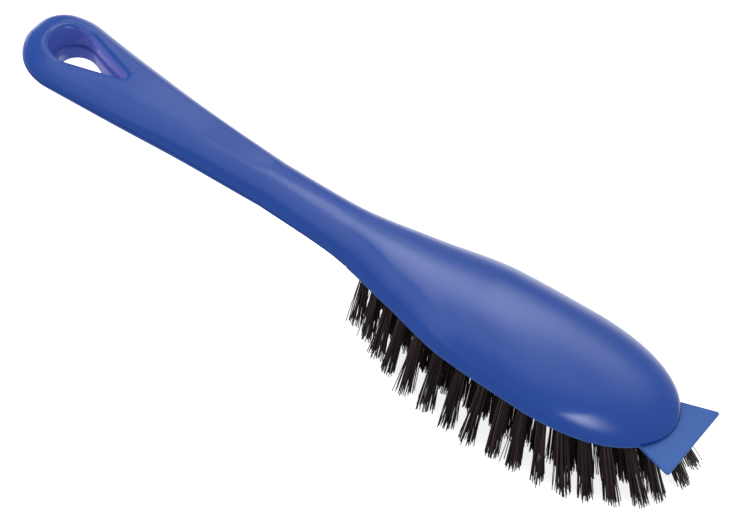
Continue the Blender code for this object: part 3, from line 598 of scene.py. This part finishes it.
def make_holes(tufts, material):
    """The tool that cuts a round hole for every tuft."""
    net = Net()
    angles = 2 * np.pi * (np.arange(HOLE_SIDES) + 0.5) / HOLE_SIDES
    for root, direction in tufts:
        along, across = cross_axes(direction)
        circle = np.outer(np.cos(angles), along) + np.outer(np.sin(angles), across)
        rings = [root + direction * step + HOLE_RADIUS * circle for step in (-HOLE_DEPTH, HOLE_OVERRUN)]
        low, high = net.skin(rings, closed=True)
        net.faces += [tuple(low), tuple(high)]
    return net.object("hole_tool", material)


def make_block(material, tufts):
    """The bristle block: rim plate, deck, scraper lip and a hole for every tuft."""
    net = Net()
    places = np.concatenate([np.arange(HANDLE_LENGTH + GAP, HEAD_WIDE_PLACE, BLOCK_ROW_STEP),
                             crowded_end(HEAD_WIDE_PLACE, SHELL_LENGTH - RIM_INSET, BLOCK_TIP_STEPS)])
    numbers = net.skin([block_section(x) for x in places], closed=True)
    net.faces.append(tuple(numbers[0]))
    block = net.object("bristle_block_fine", material)
    join_solids(block, make_scraper_body().object("scraper_tool", material), "UNION")
    join_solids(block, make_holes(tufts, material), "DIFFERENCE")
    return block


def row_path(inset, tip_inset, least_offset):
    """One side of a tuft row in plan, from its rear end round to the middle of the tip."""
    places = crowded_end(HANDLE_LENGTH + ROW_REAR_INSET, SHELL_LENGTH - tip_inset, PATH_STEPS)
    offsets = half_width(places, inset, tip_inset)
    first = np.argmax(offsets >= least_offset)
    return np.stack([places[first:], -offsets[first:]], -1)


def spaced(points, count, pitch):
    """Places along a path by the shares of its length; the last stands half a pitch off its end."""
    lengths = np.concatenate([[0], np.cumsum(np.linalg.norm(np.diff(points, axis=0), axis=1))])
    targets = lengths[-1] * blend(pitch, np.arange(count) / (count - 0.5))
    return np.stack([np.interp(targets, lengths, points[:, k]) for k in (0, 1)], -1)


def tuft_direction(x, y):
    """Unit vector along a tuft: it leans forward and fans out from the middle."""
    along = (x - HANDLE_LENGTH) / HEAD_LENGTH
    lean = float(blend(LEAN_TAN, along))
    splay = float(blend(SPLAY_TAN, along)) * y / float(half_width(x, ROW_SIDE_INSET, ROW_SIDE_INSET))
    far_front = float(share((along - FAR_FRONT_START) / FAR_FRONT_RAMP)
                      * share((y - FAR_SIDE_START) / FAR_SIDE_RAMP))
    lean, splay = lean + FAR_FRONT_LEAN * far_front, splay + FAR_FRONT_SPLAY * far_front
    direction = np.array([lean, splay, -1])
    return direction / np.linalg.norm(direction)


def tuft_plan():
    """Name and place in plan of every tuft that the frame has."""
    plan = []
    outer = spaced(row_path(ROW_SIDE_INSET, ROW_TIP_INSET, 0), OUTER_ROW_HALF_COUNT, OUTER_PITCH)
    path = row_path(ROW_SIDE_INSET + ROW_SPACING, ROW_TIP_INSET + ROW_SPACING, INNER_ROW_OFFSET)
    inner = spaced(path, INNER_ROW_HALF_COUNT, EVEN_PITCH)
    for row, places in (("outer", outer), ("inner", inner)):
        for k, (x, y) in enumerate(places):
            plan.append((f"tuft_{row}_{2 * k + 1:02d}", x, y))
            plan.append((f"tuft_{row}_{2 * k + 2:02d}", x, -y))
    start, end = HANDLE_LENGTH + CENTRE_REAR_INSET, SHELL_LENGTH - CENTRE_TIP_INSET
    pitch = (end - start) / (CENTRE_ROW_COUNT - 1)
    plan += [(f"tuft_centre_{k + 1:02d}", start + pitch * k, 0) for k in range(CENTRE_ROW_COUNT)]
    plan.append(("tuft_rear_01", HANDLE_LENGTH + REAR_TUFT_INSET, 0))
    return plan


def rooted(x, y):
    """Root and direction of the tuft at a place in plan."""
    return np.array([x, y, float(seam_height(x)) - RIM_DEPTH]), tuft_direction(x, y)


def filament_centres(start, spread, sway, root, direction, axes, rng):
    """Points along one filament, from its start in the tuft's root to its ragged tip."""
    along, across = axes
    jitter = FILAMENT_JITTER * (STRAY_FACTOR if rng.random() < STRAY_SHARE else 1)
    end = start * spread + (sway[0] + rng.gauss(0, jitter), sway[1] + rng.gauss(0, jitter))
    bow = np.array([rng.gauss(0, FILAMENT_BOW), rng.gauss(0, FILAMENT_BOW)])
    ragged = TIP_CLEARANCE + abs(rng.gauss(0, TIP_RAG))
    tip_height = ragged + (rng.uniform(0, SHORT_MOST) if rng.random() < SHORT_SHARE else 0)
    tip_flat = along * end[0] + across * end[1]
    length = (root[2] + tip_flat[2] - tip_height) / -direction[2]
    base = root - direction * ROOT_SINK
    centres = []
    for step in range(FILAMENT_STEPS + 1):
        s = step / FILAMENT_STEPS
        place = start + (end - start) * s ** FLARE_POWER + bow * 4 * s * (1 - s)
        centres.append(base + direction * (length + ROOT_SINK) * s + along * place[0] + across * place[1])
    return centres


def add_filament(net, centres, axes, twist, tone):
    """A four-sided filament along the centres, a little thinner at its tip."""
    along, across = axes
    rows = []
    for step, centre in enumerate(centres):
        thick = FILAMENT_RADIUS * (1 - FILAMENT_TAPER * step / FILAMENT_STEPS)
        ring = [centre + thick * (along * math.cos(twist + a) + across * math.sin(twist + a))
                for a in (0, math.pi / 2, math.pi, 3 * math.pi / 2)]
        rows.append(net.row(ring, tone))
    for low, high in zip(rows, rows[1:]):
        net.strip(low, high, closed=True)
    net.faces += [tuple(rows[0][::-1]), tuple(rows[-1])]


def make_tuft(name, root, direction, rng, material):
    """One tuft of separate filaments, ragged and slightly bent, standing in its hole."""
    net = Net()
    axes = cross_axes(direction)
    turn = rng.uniform(0, TURN_MOST)
    spread = rng.uniform(LEAST_SPREAD, MOST_SPREAD)
    sway = (rng.gauss(0, TUFT_SWAY), rng.gauss(0, TUFT_SWAY))
    for k in range(FILAMENTS):
        radius = ROOT_RADIUS * math.sqrt((k + 0.5) / FILAMENTS)
        angle = turn + GOLDEN_ANGLE * k
        start = np.array([radius * math.cos(angle), radius * math.sin(angle)])
        centres = filament_centres(start, spread, sway, root, direction, axes, rng)
        tone = rng.random()
        twist = rng.uniform(0, TWIST_MOST)
        add_filament(net, centres, axes, twist, tone)
    return net.object(name, material, sharp=NO_SHARP_ANGLE, merge=False)


def extra_places(plan):
    """Tufts that fill the middle of the head, half way between those the frame has in a row."""
    inner = [(x, y) for name, x, y in plan if name.startswith("tuft_inner") and y < 0]
    centre = [(x, y) for name, x, y in plan if name.startswith("tuft_centre")]
    places = []
    for row in (inner, centre):
        places += [((a + c) / 2, (b + d) / 2) for (a, b), (c, d) in zip(row, row[1:])]
    places += END_TUFTS
    return places + [(x, -y) for x, y in places if y]


def node(tree, kind, **settings):
    made = tree.nodes.new(kind)
    for name, value in settings.items():
        setattr(made, name, value)
    return made


def feed(tree, target, value):
    """Link a socket to an input, or set the input to a plain value."""
    if isinstance(value, bpy.types.NodeSocket):
        tree.links.new(value, target)
    else:
        target.default_value = value


def arithmetic(tree, operation, *values):
    """The result of a math node, fed with sockets or plain numbers."""
    made = node(tree, "ShaderNodeMath", operation=operation)
    for target, value in zip(made.inputs, values):
        feed(tree, target, value)
    return made.outputs[0]


def mix(tree, kind, factor, a, b, **settings):
    """A mix of two colours (kind RGBA) or numbers (kind FLOAT)."""
    made = node(tree, "ShaderNodeMix", data_type=kind, **settings)
    for name, value in (("Factor", factor), ("A", a), ("B", b)):
        feed(tree, made.inputs[name], value)
    return made.outputs["Result"]


def new_material(name):
    material = bpy.data.materials.new(name)
    material.use_nodes = True
    tree = material.node_tree
    return material, tree, tree.nodes["Principled BSDF"]


def noise(tree, coordinates, scale, detail, stretch=(1, 1, 1)):
    mapping = node(tree, "ShaderNodeMapping")
    mapping.inputs["Scale"].default_value = stretch
    tree.links.new(coordinates, mapping.inputs["Vector"])
    made = node(tree, "ShaderNodeTexNoise")
    made.inputs["Scale"].default_value = scale
    made.inputs["Detail"].default_value = detail
    tree.links.new(mapping.outputs["Vector"], made.inputs["Vector"])
    return made.outputs["Fac"]


def ramp(tree, source, stops):
    """A colour ramp from pairs of place and colour."""
    made = node(tree, "ShaderNodeValToRGB")
    elements = made.color_ramp.elements
    while len(elements) < len(stops):
        elements.new(0.5)
    for element, (place, color) in zip(elements, stops):
        element.position = place
        element.color = (*color, 1)
    tree.links.new(source, made.inputs["Fac"])
    return made.outputs["Color"]


def remap(tree, source, low, high):
    made = node(tree, "ShaderNodeMapRange")
    made.inputs["To Min"].default_value = low
    made.inputs["To Max"].default_value = high
    tree.links.new(source, made.inputs["Value"])
    return made.outputs["Result"]


def bump(tree, shader, height, strength, distance):
    made = node(tree, "ShaderNodeBump")
    made.inputs["Strength"].default_value = strength
    made.inputs["Distance"].default_value = distance
    tree.links.new(height, made.inputs["Height"])
    tree.links.new(made.outputs["Normal"], shader.inputs["Normal"])


def gloss_plastic():
    """Royal-blue moulded plastic: cloudy colour, fine mould grain, soft gloss, and a lighter blue painted on
    the eye's wall as light inside the hole.
    """
    material, tree, shader = new_material("royal_blue_gloss_plastic")
    place = node(tree, "ShaderNodeTexCoord").outputs["Object"]
    cloud = noise(tree, place, scale=42, detail=3)
    outer = ramp(tree, cloud, ((0.3, (0.0030, 0.0570, 0.3500)), (0.7, (0.0038, 0.0620, 0.3700))))
    # Painted light: a paler blue for the eye's wall, standing in for light inside the hole.
    inner = ramp(tree, cloud, ((0.3, (0.185, 0.215, 0.680)), (0.7, (0.205, 0.235, 0.720))))
    tone = node(tree, "ShaderNodeAttribute", attribute_name="tone").outputs["Fac"]
    tree.links.new(mix(tree, "RGBA", tone, outer, inner), shader.inputs["Base Color"])
    wear = noise(tree, place, scale=95, detail=5)
    tree.links.new(remap(tree, wear, low=0.10, high=0.17), shader.inputs["Roughness"])
    grain = noise(tree, place, scale=900, detail=3)
    bump(tree, shader, grain, strength=0.06, distance=0.0002)
    shader.inputs["IOR"].default_value = 1.5
    return material


def matte_plastic():
    """Lighter blue block plastic with a fine satin mould grain."""
    material, tree, shader = new_material("light_blue_satin_plastic")
    place = node(tree, "ShaderNodeTexCoord").outputs["Object"]
    cloud = noise(tree, place, scale=55, detail=4)
    color = ramp(tree, cloud, ((0.3, (0.020, 0.104, 0.392)), (0.7, (0.027, 0.115, 0.418))))
    tree.links.new(color, shader.inputs["Base Color"])
    grain = noise(tree, place, scale=1400, detail=3)
    tree.links.new(remap(tree, grain, low=0.42, high=0.55), shader.inputs["Roughness"])
    bump(tree, shader, grain, strength=0.12, distance=0.0002)
    shader.inputs["IOR"].default_value = 1.46
    return material


def bristle_plastic():
    """Dark brown filament plastic; each filament has its own tone, with a waxy sheen."""
    material, tree, shader = new_material("dark_brown_filament")
    tone = node(tree, "ShaderNodeAttribute", attribute_name="tone").outputs["Fac"]
    color = ramp(tree, tone, ((0.0, (0.012, 0.006, 0.006)), (0.55, (0.027, 0.013, 0.014)),
                              (0.85, (0.050, 0.028, 0.028)), (1.0, (0.085, 0.055, 0.052))))
    tree.links.new(color, shader.inputs["Base Color"])
    place = node(tree, "ShaderNodeTexCoord").outputs["Object"]
    streak = noise(tree, place, scale=260, detail=3, stretch=(3, 3, 0.4))
    tree.links.new(remap(tree, streak, low=0.28, high=0.5), shader.inputs["Roughness"])
    bump(tree, shader, streak, strength=0.15, distance=0.0001)
    shader.inputs["IOR"].default_value = 1.44
    return material


def dress():
    """The visual pieces; the pieces of the frame that they stand for are hidden."""
    body, block_look, bristle = gloss_plastic(), matte_plastic(), bristle_plastic()
    plan = tuft_plan()
    extras = extra_places(plan)
    roots = [rooted(x, y) for _, x, y in plan] + [rooted(x, y) for x, y in extras]
    shell = make_shell(body)
    underside = make_underside(body)
    block = make_block(block_look, roots)
    for piece, name, finish in ((shell, "handle_shell", "body_gloss"),
                                (underside, "handle_underside", "body_gloss"),
                                (block, "bristle_block", "block_matte")):
        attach(piece, "root")
        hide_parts(name)
    rng = random.Random(SEED)
    for (name, _, _), (root, direction) in zip(plan, roots):
        piece = make_tuft(name.replace("tuft", "filaments"), root, direction, rng, bristle)
        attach(piece, "root")
        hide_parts(name)
    for k, (root, direction) in enumerate(roots[len(plan):]):
        piece = make_tuft(f"filaments_fill_{k + 1:02d}", root, direction, rng, bristle)
        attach(piece, "root")


def make_camera():
    """The photograph's view: a long lens, from the front right and above, rolled to the right."""
    azimuth, elevation, roll = (math.radians(a) for a in (CAMERA_AZIMUTH, CAMERA_ELEVATION, CAMERA_ROLL))
    back = Vector((math.sin(azimuth) * math.cos(elevation),
                   -math.cos(azimuth) * math.cos(elevation), math.sin(elevation)))
    level = Vector((math.cos(azimuth), math.sin(azimuth), 0))
    upright = back.cross(level)
    right = level * math.cos(roll) + upright * math.sin(roll)
    up = upright * math.cos(roll) - level * math.sin(roll)
    data = bpy.data.cameras.new("camera")
    data.sensor_width = SENSOR_WIDTH
    data.lens = SENSOR_WIDTH * FOCAL_PIXELS / PICTURE_WIDTH
    data.clip_start, data.clip_end = 0.05, 20
    camera = bpy.data.objects.new("camera", data)
    turn = Matrix((right, up, back)).transposed().to_4x4()
    place = Vector(CAMERA_TARGET) * MM + back * CAMERA_DISTANCE * MM
    camera.matrix_world = Matrix.Translation(place) @ turn
    bpy.context.scene.collection.objects.link(camera)
    bpy.context.scene.camera = camera


def toward(azimuth, elevation):
    """Unit vector at an azimuth from +X and an elevation, in degrees."""
    a, e = math.radians(azimuth), math.radians(elevation)
    return Vector((math.cos(a) * math.cos(e), math.sin(a) * math.cos(e), math.sin(e)))


def key_lamp():
    """The soft lamp that shapes the colour and lays the shadow; the cards make the reflections."""
    data = bpy.data.lights.new("key", "AREA")
    data.size = KEY_SIZE
    data.energy = KEY_ENERGY
    lamp = bpy.data.objects.new("key", data)
    away = toward(KEY_AZIMUTH, KEY_ELEVATION)
    lamp.location = away * KEY_DISTANCE
    lamp.rotation_mode = "QUATERNION"
    lamp.rotation_quaternion = away.to_track_quat("Z", "Y")
    lamp.visible_glossy = False
    bpy.context.scene.collection.objects.link(lamp)


def falloff(tree, distance_squared):
    """exp(-d) of a socket, the soft edge of a card or of a lobe in the surroundings."""
    return arithmetic(tree, "POWER", math.exp(-1), distance_squared)


def add_glow(tree, surface, strength):
    """Light given off on top of a surface shader, as the material's output."""
    glow = node(tree, "ShaderNodeEmission")
    tree.links.new(strength, glow.inputs["Strength"])
    add = node(tree, "ShaderNodeAddShader")
    tree.links.new(surface, add.inputs[0])
    tree.links.new(glow.outputs[0], add.inputs[1])
    tree.links.new(add.outputs[0], tree.nodes["Material Output"].inputs["Surface"])


def flat_sheet(name, segments, reach, top, material):
    """A square sheet with its sides at reach from its middle, cut off on one side at top."""
    bm = bmesh.new()
    bmesh.ops.create_grid(bm, x_segments=segments, y_segments=segments, size=reach)
    for corner in bm.verts:
        corner.co.y = min(corner.co.y, top)
    mesh = bpy.data.meshes.new(name)
    bm.to_mesh(mesh)
    bm.free()
    mesh.materials.append(material)
    sheet = bpy.data.objects.new(name, mesh)
    bpy.context.scene.collection.objects.link(sheet)
    return sheet


def soft_card(name, azimuth, elevation, distance, width, height, turn, level, edge, top=CARD_REACH):
    """A soft-edged reflector card that only glossy surfaces see; one side may be cut off crisply."""
    material, tree, shader = new_material(name)
    tree.nodes.remove(shader)
    place = node(tree, "ShaderNodeTexCoord").outputs["Object"]
    squared = node(tree, "ShaderNodeVectorMath", operation="DOT_PRODUCT")
    tree.links.new(place, squared.inputs[0])
    tree.links.new(place, squared.inputs[1])
    soft = falloff(tree, arithmetic(tree, "POWER", squared.outputs["Value"], edge))
    strength = arithmetic(tree, "MULTIPLY", soft, level)
    add_glow(tree, node(tree, "ShaderNodeBsdfTransparent").outputs[0], strength)
    card = flat_sheet(name, CARD_SEGMENTS, CARD_REACH, top, material)
    away = toward(azimuth, elevation)
    level_axis = Vector((0, 0, 1)).cross(away).normalized()
    upright = away.cross(level_axis)
    across = level_axis * math.cos(turn) + upright * math.sin(turn)
    along = upright * math.cos(turn) - level_axis * math.sin(turn)
    rotation = Matrix((across, along, away)).transposed().to_4x4()
    position = Matrix.Translation(Vector((0, 0, CARD_AIM_HEIGHT)) + away * distance)
    card.matrix_world = position @ rotation @ Matrix.Diagonal((width, height, 1, 1))
    card.visible_camera = card.visible_diffuse = card.visible_shadow = False
    card.visible_transmission = False


def make_floor():
    """A plain pale floor: white to the camera and to reflections, with the brush's faint shadow."""
    material, tree, shader = new_material("pale_floor")
    place = node(tree, "ShaderNodeTexCoord").outputs["Object"]
    mottle = noise(tree, place, scale=3, detail=2)
    tint = ramp(tree, mottle, ((0, (0.84, 0.84, 0.84)), (1, (0.87, 0.87, 0.87))))
    path = node(tree, "ShaderNodeLightPath").outputs
    dimmed = (FLOOR_REFLECTED, FLOOR_REFLECTED, FLOOR_REFLECTED, 1)
    seen = mix(tree, "RGBA", path["Is Glossy Ray"], tint, dimmed, blend_type="MULTIPLY")
    tree.links.new(seen, shader.inputs["Base Color"])
    shader.inputs["Roughness"].default_value = 0.9
    shader.inputs["Specular IOR Level"].default_value = 0
    axes = node(tree, "ShaderNodeSeparateXYZ")
    tree.links.new(place, axes.inputs[0])
    far = node(tree, "ShaderNodeMapRange", interpolation_type="SMOOTHSTEP")
    far.inputs["From Min"].default_value = FLOOR_FAR_START
    far.inputs["From Max"].default_value = FLOOR_FAR_END
    far.inputs["To Max"].default_value = FLOOR_FAR_GLOW
    tree.links.new(axes.outputs["Y"], far.inputs["Value"])
    mirrored = arithmetic(tree, "MULTIPLY", path["Is Glossy Ray"], far.outputs["Result"])
    white = arithmetic(tree, "MULTIPLY", path["Is Camera Ray"], FLOOR_GLOW)
    add_glow(tree, shader.outputs[0], arithmetic(tree, "ADD", white, mirrored))
    floor = flat_sheet("floor", FLOOR_SEGMENTS, FLOOR_SIZE, FLOOR_SIZE, material)
    floor.location.z = -FLOOR_DROP


def make_world():
    """Surroundings: white to the camera, an even light, and broad soft lobes in the reflections."""
    world = bpy.data.worlds.new("studio")
    bpy.context.scene.world = world
    world.use_nodes = True
    tree = world.node_tree
    direction = node(tree, "ShaderNodeTexCoord").outputs["Generated"]
    lobes = WORLD_REFLECTED
    for azimuth, elevation, narrowness, level in WORLD_LOBES:
        dot = node(tree, "ShaderNodeVectorMath", operation="DOT_PRODUCT")
        tree.links.new(direction, dot.inputs[0])
        dot.inputs[1].default_value = toward(azimuth, elevation)
        away = arithmetic(tree, "MULTIPLY_ADD", dot.outputs["Value"], -narrowness, narrowness)
        lobes = arithmetic(tree, "MULTIPLY_ADD", falloff(tree, away), level, lobes)
    path = node(tree, "ShaderNodeLightPath").outputs
    unseen = mix(tree, "FLOAT", path["Is Glossy Ray"], WORLD_LIGHT, lobes)
    direct = arithmetic(tree, "MAXIMUM", path["Is Camera Ray"], path["Is Transmission Ray"])
    background = tree.nodes["Background"]
    background.inputs["Color"].default_value = (1, 1, 1, 1)
    tree.links.new(mix(tree, "FLOAT", direct, unseen, 1), background.inputs["Strength"])


def main():
    dress()
    make_floor()
    make_world()
    key_lamp()
    for card in CARDS:
        soft_card(*card)
    make_camera()
    bpy.context.scene.view_settings.view_transform = "Standard"


main()
